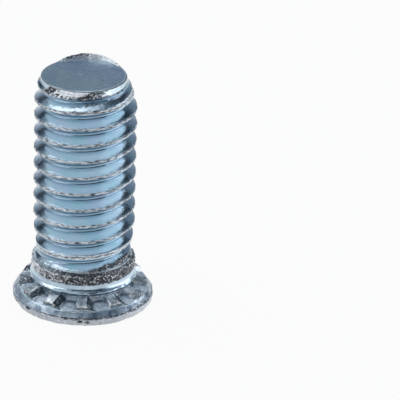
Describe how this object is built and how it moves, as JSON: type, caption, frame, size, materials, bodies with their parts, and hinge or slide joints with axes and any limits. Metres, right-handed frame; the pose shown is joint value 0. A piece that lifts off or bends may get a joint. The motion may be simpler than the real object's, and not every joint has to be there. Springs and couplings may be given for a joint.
{
  "type": "self-clinching stud",
  "caption": "Threaded stud with a flat round head, clinch ribs and a clinch groove under the head, pressed into sheet metal from behind.",
  "frame": {"origin": "centre of the head's flat outer face, which lies flush with the back of the sheet in use and on which the stud stands", "axes": "+Z along the stud's axis, from the head to the tip of the thread"},
  "size_m": [0.0082, 0.0082, 0.0142],
  "materials": {
    "zinc_plated_steel": "bright zinc plating with a pale blue passivation"
  },
  "bodies": {
    "root": {"stud": "zinc_plated_steel"}
  },
  "joints": []
}
